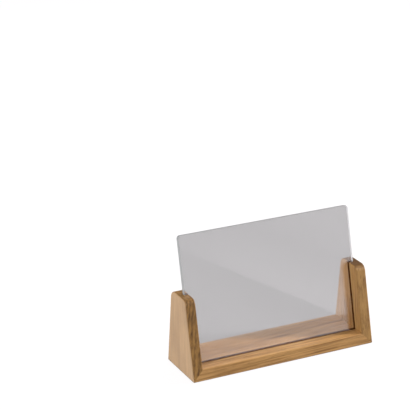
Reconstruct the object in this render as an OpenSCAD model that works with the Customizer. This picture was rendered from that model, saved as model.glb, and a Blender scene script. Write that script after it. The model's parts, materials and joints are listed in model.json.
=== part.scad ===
// Desk stand for a print: a solid oak U with mitred corners holds two clear sheets
// in one leaning groove, and the print stands between the sheets.
// Millimetres. +Z is up and +X runs along the base. The origin is on the surface that the stand
// rests on, under the middle of the base, and the front faces -Y.

/* [Base] */
// Overall length of the base
base_length = 190; // [150:1:260]
// Depth of the base where it meets the foot pads
base_depth = 55; // [48:1:80]
// Thickness of the oak boards, rail and posts alike
board_thickness = 10.6; // [9:0.2:15]
// Height of the end posts above the underside of the base
post_height = 74; // [55:1:110]
// Backward lean of the front faces and of the groove, in degrees
front_lean = 14; // [8:1:16]
// Forward lean of the rear faces, in degrees
rear_lean = 6; // [0:1:8]
// Radius of the posts' front top corners
front_corner_radius = 7; // [3:0.5:9]
// Radius of the posts' rear top corners
rear_corner_radius = 7; // [3:0.5:9]

/* [Sheets] */
// Width of each clear sheet
sheet_width = 178; // [174:1:180]
// Height of each clear sheet along its slope
sheet_height = 127; // [100:1:200]
// Thickness of one clear sheet
sheet_thickness = 2; // [1.5:0.5:3]
// Space between the two sheets, where the print goes
print_gap = 0.2; // [0.1:0.1:0.6]
// Radius of the sheets' corners
sheet_corner_radius = 3; // [1:0.5:8]

/* [Groove] */
// Distance from the front face back to the groove, measured level
groove_setback = 12; // [8:0.5:16]
// Height of the groove's floor above the underside of the base
groove_floor = 3.7; // [3:0.1:6]
// Clearance between a sheet and the groove wall beside it
groove_clearance = 0.2; // [0.1:0.05:0.5]
// Clearance between a sheet's side edge and the end of the groove
end_clearance = 0.5; // [0.2:0.1:1]

/* [Corner joints] */
// Diameter of the hidden dowels that pin each mitre
dowel_diameter = 4; // [3:0.5:5]
// Length of each dowel
dowel_length = 7; // [5:0.5:8]
// Chamfer on each end of a dowel
dowel_chamfer = 0.5; // [0.2:0.1:0.8]
// Glue space round a dowel
dowel_glue_gap = 0.05; // [0.02:0.01:0.1]
// Glue space past each end of a dowel
dowel_end_gap = 0.3; // [0.1:0.1:0.5]
// Distance from the middle of the base forward to the front dowels
front_dowel_offset = 20; // [18:0.5:21]
// Distance from the middle of the base back to the rear dowels
rear_dowel_offset = 10; // [4:0.5:18]

/* [Foot pads] */
// Diameter of each felt foot pad
pad_diameter = 10; // [6:0.5:12]
// Thickness of each pad
pad_thickness = 1.5; // [1:0.1:2]
// Depth of the recess that locates each pad
pad_recess = 0.7; // [0.3:0.1:0.8]
// Clearance round a pad in its recess
pad_clearance = 0.1; // [0.05:0.05:0.3]
// Distance from the end of the base to a pad's centre
pad_end_inset = 24; // [18:1:60]
// Distance from the front or rear edge of the base to a pad's centre
pad_edge_inset = 9; // [8:0.5:11]

/* [Hidden] */
$fn = 96;

OAK = "#bf9560";
DOWEL_WOOD = "#d3b27c";
CLEAR_SHEET = "#c3c6c8a0";
FELT = "#4b4038";

LEFT = -1;
RIGHT = 1;
ARC_STEPS = 20;                                      // flats in each rounded top corner
MARGIN = 1;                                          // how far a cutter runs past what it cuts
lift = pad_thickness - pad_recess;                   // gap under the base, made by the pads
half_length = base_length / 2;
half_depth = base_depth / 2;
pair_thickness = 2 * sheet_thickness + print_gap;    // both sheets and the gap between them
// Depth position of the front sheet's lower front edge
sheet_foot_y = -half_depth + groove_setback + groove_floor * tan(front_lean)
               + groove_clearance / cos(front_lean);

// Position on the leaning front face, at height h above the underside of the base
function front_y(h) = -half_depth + h * tan(front_lean);
// Position on the leaning rear face, at height h above the underside of the base
function rear_y(h) = half_depth - h * tan(rear_lean);
// Centre of a rounded top corner, for a face that leans by lean degrees and whose sharp corner is
// at y; inward is 1 when the body lies towards +y and -1 when it lies towards -y
function corner_centre(y, radius, lean, inward) =
    [y + inward * radius * tan((90 - lean) / 2), post_height - radius];
// Points along an arc, from one angle to another
function arc_points(centre, radius, from, to) =
    [for (i = [0:ARC_STEPS]) let (angle = from + (to - from) * i / ARC_STEPS)
        centre + radius * [cos(angle), sin(angle)]];

// The rail's end view: x is depth and y is height
module rail_outline() {
    polygon([[front_y(0), 0], [rear_y(0), 0],
             [rear_y(board_thickness), board_thickness], [front_y(board_thickness), board_thickness]]);
}

// A post's end view, with both top corners rounded
module post_outline() {
    front_centre = corner_centre(front_y(post_height), front_corner_radius, front_lean, 1);
    rear_centre = corner_centre(rear_y(post_height), rear_corner_radius, rear_lean, -1);
    polygon(concat([[front_y(0), 0]],
                   arc_points(front_centre, front_corner_radius, 180 - front_lean, 90),
                   arc_points(rear_centre, rear_corner_radius, 90, rear_lean),
                   [[rear_y(0), 0]]));
}

// Stands an end view up across the base, from from_x towards +X for length
module along_base(from_x, length) {
    translate([from_x, 0, lift])
        rotate([90, 0, 90])
            linear_extrude(length)
                children();
}

// Board waste beyond one end's mitre: above the mitre line for the rail, below it for a post
module mitre_waste(side, above) {
    reach = board_thickness + MARGIN;
    corner = above ? [-MARGIN, reach] : [reach, -MARGIN];
    translate([side * half_length, 0, lift])
        scale([-side, 1, 1])
            rotate([90, 0, 0])
                linear_extrude(base_depth + 2 * MARGIN, center = true)
                    polygon([[-MARGIN, -MARGIN], [reach, reach], corner]);
}

// The middle of one end's mitre face, with +Z square to that face and towards the rail
module at_mitre(side, y) {
    translate([side * (half_length - board_thickness / 2), y, lift + board_thickness / 2])
        rotate([0, -side * 135, 0])
            children();
}

// The holes for both dowels of one mitre
module dowel_holes(side) {
    for (y = [-front_dowel_offset, rear_dowel_offset])
        at_mitre(side, y)
            cylinder(d = dowel_diameter + 2 * dowel_glue_gap,
                     h = dowel_length + 2 * dowel_end_gap, center = true, $fn = 48);
}

// The sheets' own frame: +Z up their slope, +Y through them, origin at the front sheet's foot
module on_slope() {
    translate([0, sheet_foot_y, lift + groove_floor])
        rotate([-front_lean, 0, 0])
            children();
}

// The leaning groove, cut through all three boards in one pass and open above
module groove() {
    width = sheet_width + 2 * end_clearance;
    on_slope()
        translate([-width / 2, -groove_clearance, 0])
            cube([width, pair_thickness + 2 * groove_clearance, post_height + 2 * board_thickness]);
}

// The centre of one foot pad, on the surface that the stand rests on
module at_pad(side, end) {
    translate([side * (half_length - pad_end_inset), end * (half_depth - pad_edge_inset), 0])
        children();
}

// The board along the bottom, mitred at both ends, grain running along the base
module bottom_rail() {
    color(OAK)
        difference() {
            along_base(-half_length, base_length)
                rail_outline();
            groove();
            for (side = [LEFT, RIGHT]) {
                mitre_waste(side, true);
                dowel_holes(side);
                for (end = [-1, 1])
                    at_pad(side, end)
                        cylinder(d = pad_diameter + 2 * pad_clearance, h = pad_thickness, $fn = 64);
            }
        }
}

// An end post, grain upright
module post(side) {
    color(OAK)
        difference() {
            along_base(side == LEFT ? -half_length : half_length - board_thickness, board_thickness)
                post_outline();
            groove();
            mitre_waste(side, false);
            dowel_holes(side);
        }
}

// A chamfered dowel across the mitre
module dowel(side, y) {
    straight = dowel_length - 2 * dowel_chamfer;
    small = dowel_diameter - 2 * dowel_chamfer;
    color(DOWEL_WOOD)
        at_mitre(side, y)
            union() {
                cylinder(d = dowel_diameter, h = straight, center = true, $fn = 48);
                for (end = [0, 180])
                    rotate([end, 0, 0])
                        translate([0, 0, straight / 2])
                            cylinder(d1 = dowel_diameter, d2 = small, h = dowel_chamfer, $fn = 48);
            }
}

// A clear sheet with rounded corners, its front face at depth from the sheets' frame
module sheet(depth) {
    radius = sheet_corner_radius;
    color(CLEAR_SHEET)
        on_slope()
            translate([0, depth + sheet_thickness, 0])
                rotate([90, 0, 0])
                    linear_extrude(sheet_thickness) {
                        translate([-sheet_width / 2, radius])
                            square([sheet_width, sheet_height - 2 * radius]);
                        translate([radius - sheet_width / 2, 0])
                            square([sheet_width - 2 * radius, sheet_height]);
                        for (side = [LEFT, RIGHT])
                            for (up = [radius, sheet_height - radius])
                                translate([side * (sheet_width / 2 - radius), up])
                                    circle(r = radius);
                    }
}

// A felt disc let into the rail's underside
module pad(side, end) {
    color(FELT)
        at_pad(side, end)
            cylinder(d = pad_diameter, h = pad_thickness, $fn = 64);
}

module left_post() { post(LEFT); }
module right_post() { post(RIGHT); }
module left_front_dowel() { dowel(LEFT, -front_dowel_offset); }
module left_rear_dowel() { dowel(LEFT, rear_dowel_offset); }
module right_front_dowel() { dowel(RIGHT, -front_dowel_offset); }
module right_rear_dowel() { dowel(RIGHT, rear_dowel_offset); }
module front_sheet() { sheet(0); }
module back_sheet() { sheet(sheet_thickness + print_gap); }
module left_front_pad() { pad(LEFT, -1); }
module right_front_pad() { pad(RIGHT, -1); }
module left_rear_pad() { pad(LEFT, 1); }
module right_rear_pad() { pad(RIGHT, 1); }

bottom_rail();
left_post();
right_post();
left_front_dowel();
left_rear_dowel();
right_front_dowel();
right_rear_dowel();
front_sheet();
back_sheet();
left_front_pad();
right_front_pad();
left_rear_pad();
right_rear_pad();
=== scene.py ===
"""A desk photo stand: an oak U with mitred corners holds two clear sheets in a leaning groove.

Metres throughout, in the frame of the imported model: +Z up, +X along the base, the front facing -Y.
"""

import json
import math

import bmesh
import bpy
from mathutils import Matrix, Vector


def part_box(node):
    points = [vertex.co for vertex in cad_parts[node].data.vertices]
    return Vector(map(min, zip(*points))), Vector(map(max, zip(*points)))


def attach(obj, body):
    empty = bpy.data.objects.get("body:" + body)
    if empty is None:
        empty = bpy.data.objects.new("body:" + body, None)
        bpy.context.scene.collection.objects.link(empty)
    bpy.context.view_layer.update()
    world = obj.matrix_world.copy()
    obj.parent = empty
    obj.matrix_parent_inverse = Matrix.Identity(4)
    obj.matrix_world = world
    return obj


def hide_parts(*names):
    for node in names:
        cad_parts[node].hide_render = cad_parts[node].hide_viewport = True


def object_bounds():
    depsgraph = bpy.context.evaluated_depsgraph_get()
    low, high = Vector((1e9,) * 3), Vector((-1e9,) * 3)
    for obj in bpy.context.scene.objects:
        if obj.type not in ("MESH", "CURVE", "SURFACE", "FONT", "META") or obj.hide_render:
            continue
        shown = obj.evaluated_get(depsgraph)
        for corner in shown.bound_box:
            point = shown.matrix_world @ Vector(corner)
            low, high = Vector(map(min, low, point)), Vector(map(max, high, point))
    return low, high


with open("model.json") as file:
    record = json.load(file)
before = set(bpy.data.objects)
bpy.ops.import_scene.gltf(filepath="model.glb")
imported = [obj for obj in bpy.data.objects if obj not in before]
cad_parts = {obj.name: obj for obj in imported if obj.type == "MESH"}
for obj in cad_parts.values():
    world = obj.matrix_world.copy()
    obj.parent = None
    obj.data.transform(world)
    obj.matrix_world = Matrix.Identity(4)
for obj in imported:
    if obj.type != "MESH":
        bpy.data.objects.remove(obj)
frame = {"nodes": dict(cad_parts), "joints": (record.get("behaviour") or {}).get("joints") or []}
cad_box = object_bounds()

MM = 0.001
LEFT, RIGHT = -1, 1
SIDE_NAMES = {LEFT: "left", RIGHT: "right"}
PAD_NAMES = [f"{side}_{end}_pad" for side in ("left", "right") for end in ("front", "rear")]
DOWEL_NAMES = [f"{side}_{end}_dowel" for side in ("left", "right") for end in ("front", "rear")]

# The frame gives the boards' and the sheets' sizes and places
rail_low, rail_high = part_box("bottom_rail")
_, post_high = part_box("left_post")
slide = Vector(frame["joints"][0]["axis"]).normalized()
half_length = rail_high.x
bottom = rail_low.z
thickness = rail_high.z - rail_low.z
front_lean = math.atan2(slide.y, slide.z)

# Details of the boards that a box doesn't show
REAR_LEAN = math.radians(6)
TOP_RADIUS = 7 * MM            # posts' rounded top corners
ARRIS_RADIUS = 0.9 * MM        # the sanded long edges
EASE = 1.1 * MM                # the sanded rims of each board's two broad faces
GROOVE_CLEARANCE = 0.2 * MM
GROOVE_END_CLEARANCE = 0.5 * MM
DOWEL_HOLE_DIAMETER = 4.1 * MM
DOWEL_HOLE_LENGTH = 7.6 * MM
PAD_CLEARANCE = 0.1 * MM

# Details of the sheets and the pads
SHEET_RADIUS = 3 * MM
SHEET_EASE = 0.15 * MM
SHEET_SEAT = 0.05 * MM         # the sheets stand this far above the groove's floor
PAD_EASE = 0.35 * MM

# How finely round shapes are made
EASE_STEPS = 4                 # flats in an eased rim
ARC_STEPS = 16                 # flats in a top corner
ARRIS_STEPS = 4                # flats in a sanded edge
DRILL_SIDES = 32
PAD_SIDES = 48
SHARP_ANGLE = math.radians(40)


# ---------------------------------------------------------------- shapes

def rounded(corners, radii, inset=0.0):
    """A convex outline with each corner rounded, moved inward by inset. The corners run anticlockwise."""
    points = []
    for i, (corner, radius) in enumerate(zip(corners, radii)):
        arriving = (corner - corners[i - 1]).normalized()
        leaving = (corners[(i + 1) % len(corners)] - corner).normalized()
        first = Vector((arriving.y, -arriving.x))
        last = Vector((leaving.y, -leaving.x))
        centre = corner - (first + last) * radius / (1 + first.dot(last))
        start = math.atan2(first.y, first.x)
        turn = first.angle(last)
        steps = ARC_STEPS if radius > 2 * ARRIS_RADIUS else ARRIS_STEPS
        for k in range(steps + 1):
            angle = start + turn * k / steps
            points.append(centre + (radius - inset) * Vector((math.cos(angle), math.sin(angle))))
    return points


def circle(radius):
    """Points round a circle about the origin."""
    turns = [2 * math.pi * k / PAD_SIDES for k in range(PAD_SIDES)]
    return [Vector((radius * math.cos(t), radius * math.sin(t))) for t in turns]


def eased_prism(outline, start, end, ease, place, side_index=0):
    """A closed prism with rounded rims.

    outline(inset) gives its outline, and place(u, v, w) puts a point of the outline at distance w along
    the prism. side_index is the material of all but its two flat ends.
    """
    mesh = bmesh.new()
    turns = [math.pi / 2 * k / EASE_STEPS for k in range(EASE_STEPS + 1)]
    stations = [(start + ease * (1 - math.cos(t)), ease * (1 - math.sin(t))) for t in turns]
    stations += [(end - ease * (1 - math.cos(t)), ease * (1 - math.sin(t))) for t in reversed(turns)]
    rings = [[mesh.verts.new(place(p.x, p.y, w)) for p in outline(inset)] for w, inset in stations]
    for ring, following in zip(rings, rings[1:]):
        for i in range(len(ring)):
            face = mesh.faces.new((ring[i - 1], ring[i], following[i], following[i - 1]))
            face.material_index = side_index
    mesh.faces.new(rings[0])
    mesh.faces.new(rings[-1])
    bmesh.ops.recalc_face_normals(mesh, faces=mesh.faces)
    return mesh


def make_object(name, mesh, *materials):
    """Turns a bmesh into an object of the scene."""
    data = bpy.data.meshes.new(name)
    for material in materials:
        data.materials.append(material)
    mesh.to_mesh(data)
    mesh.free()
    made = bpy.data.objects.new(name, data)
    bpy.context.scene.collection.objects.link(made)
    return made


def carve(piece, cutters):
    """Cuts the cutters out of a piece for good, and deletes them. The cuts take the cutters' materials."""
    for cutter in cutters:
        cut = piece.modifiers.new("cut", "BOOLEAN")
        cut.operation = "DIFFERENCE"
        cut.solver = "EXACT"
        cut.material_mode = "TRANSFER"
        cut.object = cutter
    depsgraph = bpy.context.evaluated_depsgraph_get()
    carved = bpy.data.meshes.new_from_object(piece.evaluated_get(depsgraph))
    piece.modifiers.clear()
    piece.data = carved
    for cutter in cutters:
        bpy.data.objects.remove(cutter)


def smooth(piece):
    """Smooth shading over the rounded edges, with the flat faces kept flat."""
    piece.data.shade_smooth()
    piece.data.set_sharp_from_angle(angle=SHARP_ANGLE)
    weighted = piece.modifiers.new("flat_faces", "WEIGHTED_NORMAL")
    weighted.keep_sharp = True


def finish_piece(piece, body, node):
    """Shades a piece and ties it to the frame."""
    smooth(piece)
    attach(piece, body)
    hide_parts(node)


# ---------------------------------------------------------------- oak boards

def board_outline(top):
    """The outline of a board's end view, as a function of its inset, for a board that is as high as top."""
    def front(z):
        return rail_low.y + (z - bottom) * math.tan(front_lean)

    def rear(z):
        return rail_high.y - (z - bottom) * math.tan(REAR_LEAN)

    corners = [Vector((front(bottom), bottom)), Vector((rear(bottom), bottom)),
               Vector((rear(top), top)), Vector((front(top), top))]
    top_radius = TOP_RADIUS if top > rail_high.z else ARRIS_RADIUS
    radii = [ARRIS_RADIUS, ARRIS_RADIUS, top_radius, top_radius]
    return lambda inset: rounded(corners, radii, inset)


def upright_across_base(depth, height, along):
    """Puts a board's end view upright across the base."""
    return Vector((along, depth, height))


def cut_mitre(mesh, side, keep_above):
    """Cuts a board along one end's mitre and closes the cut."""
    up = Vector((side, 0, 1)).normalized()
    geometry = mesh.verts[:] + mesh.edges[:] + mesh.faces[:]
    bmesh.ops.bisect_plane(mesh, geom=geometry, plane_co=(side * half_length, 0, bottom),
                           plane_no=-up if keep_above else up, clear_outer=True)
    rim = [edge for edge in mesh.edges if edge.is_boundary]
    bmesh.ops.contextual_create(mesh, geom=rim)
    bmesh.ops.recalc_face_normals(mesh, faces=mesh.faces)


def sheet_frame():
    """The front sheet's own frame, +Z up its slope and +Y through it, with its height and thickness.

    The box of a rectangle that leans by a known angle gives both.
    """
    low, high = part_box("front_sheet")
    size = high - low
    spread = math.cos(2 * front_lean)
    height = (size.z * math.cos(front_lean) - size.y * math.sin(front_lean)) / spread
    depth = (size.y * math.cos(front_lean) - size.z * math.sin(front_lean)) / spread
    foot = Vector((0, low.y, low.z + depth * math.sin(front_lean)))
    return Matrix.Translation(foot) @ Matrix.Rotation(-front_lean, 4, "X"), height, depth


def groove_cutter(groove_shade):
    """The leaning groove, open above and run through all three boards. Its walls get the groove material,
    painted dark for the shade inside the narrow groove.
    """
    slope, _, depth = sheet_frame()
    low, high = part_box("front_sheet")
    rear_low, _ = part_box("back_sheet")
    pair = (rear_low.y - low.y) / math.cos(front_lean) + depth
    width = high.x - low.x + 2 * GROOVE_END_CLEARANCE
    through = pair + 2 * GROOVE_CLEARANCE
    rise = 1.5 * post_high.z           # clear above the posts
    middle = Matrix.Translation((0, through / 2 - GROOVE_CLEARANCE, rise / 2))
    shape = slope @ middle @ Matrix.Diagonal((width, through, rise, 1))
    mesh = bmesh.new()
    bmesh.ops.create_cube(mesh, size=1, matrix=shape)
    return make_object("groove_cutter", mesh, groove_shade)


def drill(centre, axis, diameter, length):
    """A cylinder cutter along axis."""
    mesh = bmesh.new()
    turn = axis.to_track_quat("Z", "Y").to_matrix().to_4x4()
    bmesh.ops.create_cone(mesh, cap_ends=True, segments=DRILL_SIDES, radius1=diameter / 2,
                          radius2=diameter / 2, depth=length, matrix=Matrix.Translation(centre) @ turn)
    return make_object("drill", mesh)


def dowel_drills(side):
    """Cutters for the two dowel holes of one mitre."""
    boxes = [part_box(f"{SIDE_NAMES[side]}_{end}_dowel") for end in ("front", "rear")]
    return [drill((low + high) / 2, Vector((-side, 0, -1)), DOWEL_HOLE_DIAMETER, DOWEL_HOLE_LENGTH)
            for low, high in boxes]


def pad_drills():
    """Cutters for the recesses under the rail that take the foot pads."""
    cutters = []
    for name in PAD_NAMES:
        low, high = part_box(name)
        diameter = high.x - low.x + 2 * PAD_CLEARANCE
        cutters.append(drill((low + high) / 2, Vector((0, 0, 1)), diameter, high.z - low.z))
    return cutters


def rail_board(material, groove_shade):
    """The board along the bottom, mitred at both ends."""
    mesh = eased_prism(board_outline(rail_high.z), -half_length, half_length, EASE, upright_across_base)
    for side in (LEFT, RIGHT):
        cut_mitre(mesh, side, keep_above=False)
    board = make_object("rail_board", mesh, material)
    carve(board, [groove_cutter(groove_shade), *pad_drills(), *dowel_drills(LEFT), *dowel_drills(RIGHT)])
    return board


def post_board(side, material, groove_shade):
    """An end post, mitred at its foot."""
    ends = sorted([side * (half_length - thickness), side * half_length])
    mesh = eased_prism(board_outline(post_high.z), *ends, EASE, upright_across_base)
    cut_mitre(mesh, side, keep_above=True)
    board = make_object(f"{SIDE_NAMES[side]}_post_board", mesh, material)
    carve(board, [groove_cutter(groove_shade), *dowel_drills(side)])
    return board


# ---------------------------------------------------------------- sheets and pads

def clear_sheet(node, face, edge):
    """A polished sheet with rounded corners and lightly broken edges.

    Its edges have a material of their own, all but the foot, which stays clear so that the dark groove
    shows through it.
    """
    slope, height, depth = sheet_frame()
    low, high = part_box(node)
    start = (low.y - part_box("front_sheet")[0].y) / math.cos(front_lean)
    corners = [Vector((low.x, SHEET_SEAT)), Vector((high.x, SHEET_SEAT)),
               Vector((high.x, height)), Vector((low.x, height))]
    mesh = eased_prism(lambda inset: rounded(corners, [SHEET_RADIUS] * 4, inset),
                       start, start + depth, SHEET_EASE,
                       lambda along, up, through: slope @ Vector((along, through, up)), side_index=1)
    for surface in mesh.faces:
        faces_down_the_slope = surface.normal.dot(slide) < -0.5
        if faces_down_the_slope:
            surface.material_index = 0
    return make_object(f"clear_{node}", mesh, face, edge)


def felt_pad(node, material):
    """A felt disc with a soft rim."""
    low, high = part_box(node)
    centre, radius = (low + high) / 2, (high.x - low.x) / 2
    mesh = eased_prism(lambda inset: circle(radius - inset), low.z, high.z, PAD_EASE,
                       lambda x, y, z: Vector((centre.x + x, centre.y + y, z)))
    return make_object(f"felt_{node}", mesh, material)


# ---------------------------------------------------------------- node helpers

def new_material(name):
    """A material with only an output and a Principled shader. Returns it with its tree and both nodes."""
    material = bpy.data.materials.new(name)
    material.use_nodes = True
    tree = material.node_tree
    tree.nodes.clear()
    shader = add(tree, "ShaderNodeBsdfPrincipled")
    output = add(tree, "ShaderNodeOutputMaterial", {"Surface": shader.outputs["BSDF"]})
    return material, tree, shader, output


def add(tree, kind, inputs=None, **settings):
    """A new node. inputs gives a value, or an output to link, for each input socket."""
    made = tree.nodes.new(kind)
    for name, value in settings.items():
        setattr(made, name, value)
    for socket, value in (inputs or {}).items():
        if isinstance(value, bpy.types.NodeSocket):
            tree.links.new(value, made.inputs[socket])
        else:
            made.inputs[socket].default_value = value
    return made


def maths(tree, operation, first, second=0.0, third=0.0):
    """The result of one maths node."""
    made = add(tree, "ShaderNodeMath", {0: first, 1: second, 2: third}, operation=operation)
    return made.outputs[0]


def along_direction(tree, vector, direction):
    """How far a vector reaches along a fixed direction."""
    made = add(tree, "ShaderNodeVectorMath", {0: vector, 1: direction}, operation="DOT_PRODUCT")
    return made.outputs["Value"]


def part_of(tree, vector, axis):
    """One coordinate of a vector."""
    return add(tree, "ShaderNodeSeparateXYZ", {0: vector}).outputs[axis]


def grain_noise(tree, place, scale, detail=2.0, roughness=0.5):
    """Noise from 0 to 1 with its own scale on each axis, per millimetre."""
    scaled = add(tree, "ShaderNodeVectorMath", {0: place, 1: scale}, operation="MULTIPLY")
    noise = add(tree, "ShaderNodeTexNoise",
                {"Vector": scaled.outputs[0], "Scale": 1.0, "Detail": detail, "Roughness": roughness})
    return noise.outputs["Fac"]


def ranged(tree, value, low, high, to_low=0.0, to_high=1.0):
    """value, taken from low..high to to_low..to_high and held there."""
    made = add(tree, "ShaderNodeMapRange", {0: value, 1: low, 2: high, 3: to_low, 4: to_high})
    return made.outputs[0]


def mixed(tree, share, first, second):
    """Two colours mixed by share."""
    made = add(tree, "ShaderNodeMix", {0: share, 6: first, 7: second}, data_type="RGBA")
    return made.outputs[2]


def mixed_value(tree, share, first, second):
    """Two values mixed by share."""
    made = add(tree, "ShaderNodeMix", {0: share, 2: first, 3: second}, data_type="FLOAT")
    return made.outputs[0]


def shaped(tree, value, stops):
    """value taken through a ramp of greys, whose stops are pairs of position and value."""
    ramp = add(tree, "ShaderNodeValToRGB", {0: value})
    elements = ramp.color_ramp.elements
    while len(elements) < len(stops):
        elements.new(0.5)
    for element, (position, grey) in zip(elements, stops):
        element.position = position
        element.color = (grey, grey, grey, 1)
    return ramp.outputs[0]


def millimetres(tree, turn=(0, 0, 0), move=(0, 0, 0)):
    """The object's own coordinates in millimetres, turned by Euler angles and then moved."""
    place = add(tree, "ShaderNodeTexCoord").outputs["Object"]
    turned = add(tree, "ShaderNodeMapping",
                 {"Vector": place, "Scale": (1 / MM,) * 3, "Rotation": turn, "Location": move})
    return turned.outputs[0]


def bumped(tree, shader, height, distance):
    """Gives a shader a relief of the given depth."""
    bump = add(tree, "ShaderNodeBump", {"Height": height, "Strength": 1.0, "Distance": distance})
    tree.links.new(bump.outputs[0], shader.inputs["Normal"])


# ---------------------------------------------------------------- oak

# Noise scales per millimetre: twice across the grain, then along it
WANDER = (0.035, 0.035, 0.012)       # slow drift of the growth rings
RIPPLE = (0.3, 0.3, 0.03)            # small waves in the growth rings
STREAKS = (0.75, 0.75, 0.028)
FIBRES = (2.4, 2.4, 0.06)
TONE = (0.05, 0.05, 0.02)            # broad lighter and darker areas
PORE_DASHES = (3.2, 3.2, 0.12)
SAPWOOD_SHEEN_LINES = (0.35, 0.35, 0.02)

RIPPLE_HEIGHT = 1.6                  # millimetres
SAPWOOD_SHEEN_BORDER = 0.6                 # millimetres
PORE_STRENGTH = 0.6
PORE_DEPTH = 0.05 * MM

# Dark, open early wood at each phase of a growth ring
RING_PROFILE = [(0.0, 0.35), (0.10, 1.0), (0.35, 0.45), (0.65, 0.12), (0.92, 0.0), (1.0, 0.35)]


def stretched(scale, length):
    """A noise scale with its features drawn out along the grain."""
    return scale[0], scale[1], scale[2] / length


def growth_rings(tree, place, ring, sway, length):
    """How much early wood shows: wavering rings round the tree's centre line."""
    flat = add(tree, "ShaderNodeVectorMath", {0: place, 1: (1, 1, 0)}, operation="MULTIPLY")
    from_pith = add(tree, "ShaderNodeVectorMath", {0: flat.outputs[0]}, operation="LENGTH").outputs["Value"]
    wander = grain_noise(tree, place, stretched(WANDER, length), detail=1.0)
    ripple = grain_noise(tree, place, stretched(RIPPLE, length))
    radius = maths(tree, "MULTIPLY_ADD", wander, 2 * sway, from_pith)
    radius = maths(tree, "MULTIPLY_ADD", ripple, RIPPLE_HEIGHT, radius)
    return shaped(tree, maths(tree, "FRACT", maths(tree, "DIVIDE", radius, ring)), RING_PROFILE)


def end_grain(tree, grain):
    """How squarely the surface cuts across the grain, where the open pores drink oil and turn dark."""
    normal = add(tree, "ShaderNodeTexCoord").outputs["Normal"]
    square = along_direction(tree, normal, Vector(grain).normalized())
    return ranged(tree, maths(tree, "ABSOLUTE", square), 0.5, 0.9)


def sapwood_and_sheen_layer(tree, colour, streaks, tone, outwards, start, pale, pale_dark):
    """colour, with a pale outer layer over all that lies further outwards than start. The layer is partly
    the tree's paler outer wood and partly a painted sheen, and its border makes a thin painted highlight
    along the edge of the next face.
    """
    depth = along_direction(tree, millimetres(tree), outwards)
    outer = ranged(tree, maths(tree, "MULTIPLY_ADD", streaks, SAPWOOD_SHEEN_BORDER, depth),
                   start, start + SAPWOOD_SHEEN_BORDER)
    lines = grain_noise(tree, millimetres(tree), SAPWOOD_SHEEN_LINES, detail=5.0, roughness=0.7)
    lines = maths(tree, "MULTIPLY_ADD", tone, 0.6, lines)
    return mixed(tree, outer, colour, mixed(tree, ranged(tree, lines, 0.6, 1.0), pale, pale_dark))


def oak(name, light, dark, pore, grain, pith, ring=3.0, sway=6.0, figure=0.5, streak=0.9, length=1.0,
        thirst=0.8, polish=0.25, sapwood_and_sheen=None):
    """Oiled oak, cut from a solid tree. light, dark and pore are its colours.

    grain: the way the tree grew, in the board's frame
    pith: a point on the tree's centre line, in millimetres in the board's frame
    ring, sway, figure: spacing of the growth rings, how far they wander and how strongly they show
    streak, length: strength of the streaks along the grain, and how far they run
    thirst: how dark the end grain turns
    polish: how much the oil shines
    sapwood_and_sheen: the way outwards to a pale outer layer, partly paler outer wood and partly painted
    sheen, where it starts, and its light and dark colours
    """
    material, tree, shader, _ = new_material(name)
    upright = Vector(grain).rotation_difference(Vector((0, 0, 1))).to_matrix()
    place = millimetres(tree, upright.to_euler(), -(upright @ Vector(pith)))
    early = growth_rings(tree, place, ring, sway, length)
    streaks = grain_noise(tree, place, stretched(STREAKS, length), detail=3.0, roughness=0.6)
    fibres = grain_noise(tree, place, stretched(FIBRES, length))
    tone = grain_noise(tree, place, TONE)
    dashes = grain_noise(tree, place, PORE_DASHES)
    in_rings = ranged(tree, early, 0.0, 1.0, 0.35, 1.0)
    pores = maths(tree, "MULTIPLY", ranged(tree, dashes, 0.54, 0.66), in_rings)

    shade = maths(tree, "MULTIPLY", early, figure)
    shade = maths(tree, "ADD", shade, ranged(tree, streaks, 0.32, 0.68, -streak / 3, streak * 2 / 3))
    shade = maths(tree, "ADD", shade, ranged(tree, tone, 0.3, 0.7, -0.15, 0.25))
    shade = maths(tree, "ADD", shade, ranged(tree, fibres, 0.3, 0.7, -0.12, 0.12))
    colour = mixed(tree, ranged(tree, shade, 0.0, 1.0), light, dark)
    colour = mixed(tree, maths(tree, "MULTIPLY", pores, PORE_STRENGTH), colour, pore)
    # Painted sheen: the pale outer layer, partly paler outer wood, lightens the face that catches the
    # sheen.
    if sapwood_and_sheen:
        colour = sapwood_and_sheen_layer(tree, colour, streaks, tone, *sapwood_and_sheen)
    colour = mixed(tree, maths(tree, "MULTIPLY", end_grain(tree, grain), thirst), colour, pore)
    tree.links.new(colour, shader.inputs["Base Color"])

    roughness = maths(tree, "MULTIPLY_ADD", pores, 0.2, ranged(tree, fibres, 0.3, 0.7, 0.40, 0.50))
    tree.links.new(roughness, shader.inputs["Roughness"])
    shader.inputs["Specular IOR Level"].default_value = polish
    shader.inputs["Coat Weight"].default_value = 0.6 * polish
    shader.inputs["Coat Roughness"].default_value = 0.3
    relief = maths(tree, "MULTIPLY_ADD", pores, -1.0, maths(tree, "MULTIPLY", fibres, 0.3))
    bumped(tree, shader, relief, PORE_DEPTH)
    return material


# ---------------------------------------------------------------- other materials

ACRYLIC_IOR = 1.49
FELT_DEPTH = 0.2 * MM


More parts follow.
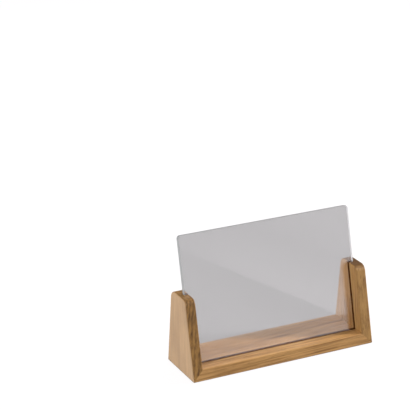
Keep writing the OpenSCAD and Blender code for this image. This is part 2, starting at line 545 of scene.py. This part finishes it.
def acrylic(name, tint):
    """Clear polished sheet with faint smudges. Light on its way to other things passes straight through."""
    material, tree, shader, output = new_material(name)
    smears = grain_noise(tree, millimetres(tree), (0.03, 0.03, 0.03), detail=3.0)
    tree.links.new(ranged(tree, smears, 0.45, 0.75, 0.0, 0.03), shader.inputs["Roughness"])
    shader.inputs["Base Color"].default_value = tint
    shader.inputs["IOR"].default_value = ACRYLIC_IOR
    shader.inputs["Transmission Weight"].default_value = 1.0
    passing = [channel ** 0.5 for channel in tint[:3]]
    clear = add(tree, "ShaderNodeBsdfTransparent", {"Color": (*passing, 1)})
    path = add(tree, "ShaderNodeLightPath")
    straight = maths(tree, "MAXIMUM", path.outputs["Is Shadow Ray"], path.outputs["Is Diffuse Ray"])
    mix = add(tree, "ShaderNodeMixShader",
              {0: straight, 1: shader.outputs["BSDF"], 2: clear.outputs["BSDF"]})
    tree.links.new(mix.outputs[0], output.inputs["Surface"])
    return material


def cut_edge(name):
    """A sheet's saw-cut edge: frosted, so that it gathers light and glows. How strongly it glows is painted
    by position: most at the lamp's end, less towards the far end.
    """
    material, tree, shader, output = new_material(name)
    place = millimetres(tree)
    strokes = grain_noise(tree, place, (1.5, 1.5, 1.5))
    shader.inputs["Base Color"].default_value = (0.30, 0.305, 0.31, 1)
    tree.links.new(ranged(tree, strokes, 0.3, 0.7, 0.25, 0.45), shader.inputs["Roughness"])
    glow = add(tree, "ShaderNodeBsdfTranslucent", {"Color": (0.95, 0.95, 0.96, 1)})
    # Painted highlight: the translucent share rises from the far end to the lamp's end, so the edge there
    # glows brighter.
    share = ranged(tree, part_of(tree, place, "X"), -80, 80, 0.05, 0.35)
    mix = add(tree, "ShaderNodeMixShader",
              {0: share, 1: shader.outputs["BSDF"], 2: glow.outputs["BSDF"]})
    tree.links.new(mix.outputs[0], output.inputs["Surface"])
    return material


def felt(name):
    """Pressed wool felt: matted fibres in two shades."""
    material, tree, shader, _ = new_material(name)
    matted = grain_noise(tree, millimetres(tree), (3.0, 3.0, 3.0), detail=6.0, roughness=0.7)
    share = ranged(tree, matted, 0.35, 0.65)
    colour = mixed(tree, share, (0.035, 0.028, 0.022, 1), (0.11, 0.09, 0.07, 1))
    tree.links.new(colour, shader.inputs["Base Color"])
    shader.inputs["Roughness"].default_value = 0.95
    shader.inputs["Sheen Weight"].default_value = 0.4
    bumped(tree, shader, matted, FELT_DEPTH)
    return material


def dowel_wood(name):
    """Plain pale hardwood, with short dark flecks."""
    material, tree, shader, _ = new_material(name)
    place = millimetres(tree, turn=(0, math.radians(45), 0))
    flecks = ranged(tree, grain_noise(tree, place, (2.5, 2.5, 0.5)), 0.5, 0.7)
    colour = mixed(tree, flecks, (0.62, 0.42, 0.22, 1), (0.42, 0.25, 0.11, 1))
    tree.links.new(colour, shader.inputs["Base Color"])
    shader.inputs["Roughness"].default_value = 0.6
    return material


# ---------------------------------------------------------------- studio

FLOOR_RADIUS = 6.0
AIM = Vector((0, 0, 0.05))                 # what the lights point at
PANEL_ACROSS = (0.506, 0.258, 0.823)       # the way across the panel's slanting edge
PANEL_LEVEL = (0.891, 0.454, 0)            # the level way to the right, along which the panel comes in
BESIDE_PANEL = 0.83
# Brightness across the panel's edge: a dip, a bright edge that fades, and a faint second band
PANEL_PROFILE = [(0.1, BESIDE_PANEL), (0.22, 0.87), (0.405, 0.71), (0.42, 1.0), (0.46, 0.97),
                 (0.60, 0.81), (0.73, 0.89), (1.0, BESIDE_PANEL)]


def direction_back(azimuth, elevation):
    """The way from the stand to something seen at the given angles, in degrees, 0, 0 being the front."""
    a, e = math.radians(azimuth), math.radians(elevation)
    return Vector((math.sin(a) * math.cos(e), -math.cos(a) * math.cos(e), math.sin(e)))


def mirrored(tree, path):
    """1 for a ray that a shiny surface has mirrored, and 0 for one that has come through glass."""
    glossy, through = path.outputs["Is Glossy Ray"], path.outputs["Is Transmission Ray"]
    return maths(tree, "MULTIPLY", glossy, maths(tree, "SUBTRACT", 1.0, through))


def floor(colour, share, seen, front, behind):
    """A large pale floor, which lights the stand with its plain colour.

    To the camera and in the wood's sheen it glows with seen. The sheets show the room's own floor, bright
    in front of the stand and dimmer behind it. share is how much the lamps add to those, so that shadows
    on it stay faint.
    """
    mesh = bmesh.new()
    bmesh.ops.create_circle(mesh, cap_ends=True, segments=64, radius=FLOOR_RADIUS)
    material, tree, shader, _ = new_material("studio_floor")
    path = add(tree, "ShaderNodeLightPath")
    transmitted = path.outputs["Is Transmission Ray"]
    white = maths(tree, "MAXIMUM", path.outputs["Is Camera Ray"], mirrored(tree, path))
    looked_at = maths(tree, "MAXIMUM", white, transmitted)
    place = add(tree, "ShaderNodeTexCoord").outputs["Object"]
    room = ranged(tree, part_of(tree, place, "Y"), -0.5, -0.1, front, behind)
    glow = maths(tree, "MULTIPLY_ADD", transmitted, room, maths(tree, "MULTIPLY", white, seen))
    base = mixed(tree, looked_at, (*colour, 1), (share, share, share, 1))
    tree.links.new(base, shader.inputs["Base Color"])
    tree.links.new(glow, shader.inputs["Emission Strength"])
    shader.inputs["Emission Color"].default_value = (1, 0.985, 0.99, 1)
    shader.inputs["Roughness"].default_value = 0.9
    shader.inputs["Specular IOR Level"].default_value = 0.0
    make_object("floor", mesh, material)


def softbox(name, azimuth, elevation, distance, size, radiance):
    """A rectangular soft light that faces the stand from the given direction."""
    back = direction_back(azimuth, elevation)
    data = bpy.data.lights.new(name, "AREA")
    data.shape = "RECTANGLE"
    data.size, data.size_y = size
    data.energy = radiance * 4 * size[0] * size[1]
    light = bpy.data.objects.new(name, data)
    light.location = AIM + back * distance
    light.rotation_euler = back.to_track_quat("Z", "Y").to_euler()
    bpy.context.scene.collection.objects.link(light)


def surroundings(light, seen, front, behind):
    """White all round: how strongly it lights things and how bright the camera sees it.

    In shiny surfaces and through the sheets the room shows: a bright side in front of the stand, and a
    dimmer one behind it.
    """
    world = bpy.data.worlds.new("studio")
    world.use_nodes = True
    tree = world.node_tree
    background = tree.nodes["Background"]
    background.inputs["Color"].default_value = (1, 1, 1, 1)
    path = add(tree, "ShaderNodeLightPath")
    indirect = maths(tree, "MAXIMUM", path.outputs["Is Glossy Ray"], path.outputs["Is Transmission Ray"])
    direction = add(tree, "ShaderNodeTexCoord").outputs["Generated"]
    room = ranged(tree, part_of(tree, direction, "Y"), -0.5, 0.3, front, behind)
    room = maths(tree, "MULTIPLY", room, panel_edge(tree, direction))
    strength = mixed_value(tree, indirect, light, room)
    strength = mixed_value(tree, path.outputs["Is Camera Ray"], strength, seen)
    tree.links.new(strength, background.inputs["Strength"])
    bpy.context.scene.world = world


def panel_edge(tree, direction):
    """The slanting edge of a soft panel in front, on the right: a factor that steps up across it."""
    across_edge = along_direction(tree, direction, PANEL_ACROSS)
    profile = shaped(tree, ranged(tree, across_edge, -0.05, 0.10), PANEL_PROFILE)
    coming_in = ranged(tree, along_direction(tree, direction, PANEL_LEVEL), -0.07, -0.01, 0.1, 1.0)
    return mixed_value(tree, coming_in, BESIDE_PANEL, profile)


def camera(azimuth, elevation, distance, aside, above, lens):
    """Looks at the stand from the given direction, with the view's middle moved off the stand's centre."""
    back = direction_back(azimuth, elevation)
    right = Vector((math.cos(math.radians(azimuth)), math.sin(math.radians(azimuth)), 0))
    up = back.cross(right)
    centre = (cad_box[0] + cad_box[1]) / 2
    data = bpy.data.cameras.new("camera")
    data.lens = lens
    made = bpy.data.objects.new("camera", data)
    made.location = centre + back * distance + right * aside + up * above
    made.rotation_euler = Matrix((right, up, back)).transposed().to_euler()
    bpy.context.scene.collection.objects.link(made)
    bpy.context.scene.camera = made


# ---------------------------------------------------------------- the stand

oak_rail = oak("oak_rail", (0.555, 0.302, 0.107, 1), (0.26, 0.12, 0.032, 1), (0.12, 0.052, 0.014, 1),
               grain=(1, 0.012, 0.015), pith=(0, -6, -22), sway=3.0, figure=0.35, streak=1.1, length=2.0)
# The left post's pale outer face is partly paler outer wood and partly a painted sheen, with a thin painted
# highlight along its front edge. Its end grain is barely darkened, which keeps its top lighter than the
# right post's: partly a painted sheen.
oak_left = oak("oak_left_post", (0.36, 0.185, 0.05, 1), (0.10, 0.044, 0.009, 1), (0.08, 0.034, 0.008, 1),
               grain=(0.22, 0.05, 1), pith=(-140, -20, 40), sway=4.0, ring=4.0, thirst=0.1,
               sapwood_and_sheen=((-1, 0, 0), 94.3, (0.52, 0.33, 0.175, 1), (0.38, 0.235, 0.125, 1)))
oak_right = oak("oak_right_post", (0.42, 0.23, 0.075, 1), (0.21, 0.10, 0.028, 1), (0.10, 0.042, 0.01, 1),
                grain=(0.02, 0.12, 1), pith=(92, 8, 40), thirst=0.9)
# The groove's walls: unoiled saw-cut oak, painted far darker than the boards for the shade inside the
# narrow groove.
groove_shade_oak = oak("oak_groove", (0.17, 0.055, 0.006, 1), (0.09, 0.027, 0.003, 1), (0.04, 0.012, 0.001, 1),
               grain=(1, 0, 0), pith=(0, 30, -30), polish=0.0)
clear = acrylic("clear_sheet", (0.975, 0.962, 0.972, 1))
frosted = cut_edge("clear_sheet_edge")
pad_felt = felt("felt")
peg_wood = dowel_wood("dowel_wood")

finish_piece(rail_board(oak_rail, groove_shade_oak), "base", "bottom_rail")
finish_piece(post_board(LEFT, oak_left, groove_shade_oak), "base", "left_post")
finish_piece(post_board(RIGHT, oak_right, groove_shade_oak), "base", "right_post")
for sheet in ("front_sheet", "back_sheet"):
    finish_piece(clear_sheet(sheet, clear, frosted), sheet, sheet)
for pad in PAD_NAMES:
    finish_piece(felt_pad(pad, pad_felt), "base", pad)
for dowel in DOWEL_NAMES:
    frame["nodes"][dowel].material_slots[0].material = peg_wood

floor(colour=(0.10, 0.10, 0.10), share=0.12, seen=0.92, front=1.0, behind=0.255)
surroundings(light=0.34, seen=1.0, front=1.56, behind=0.30)
softbox("key_light", 74.5, 21, 2.0, (0.14, 0.14), 640)
softbox("left_light", -86, 20, 1.8, (1.2, 1.2), 5.2)
softbox("top_light", 165, 60, 1.8, (0.8, 0.8), 2.4)
camera(azimuth=-26.51, elevation=20.80, distance=1.5113, aside=-0.0626, above=0.0789, lens=142.7)
bpy.context.scene.view_settings.view_transform = "Standard"
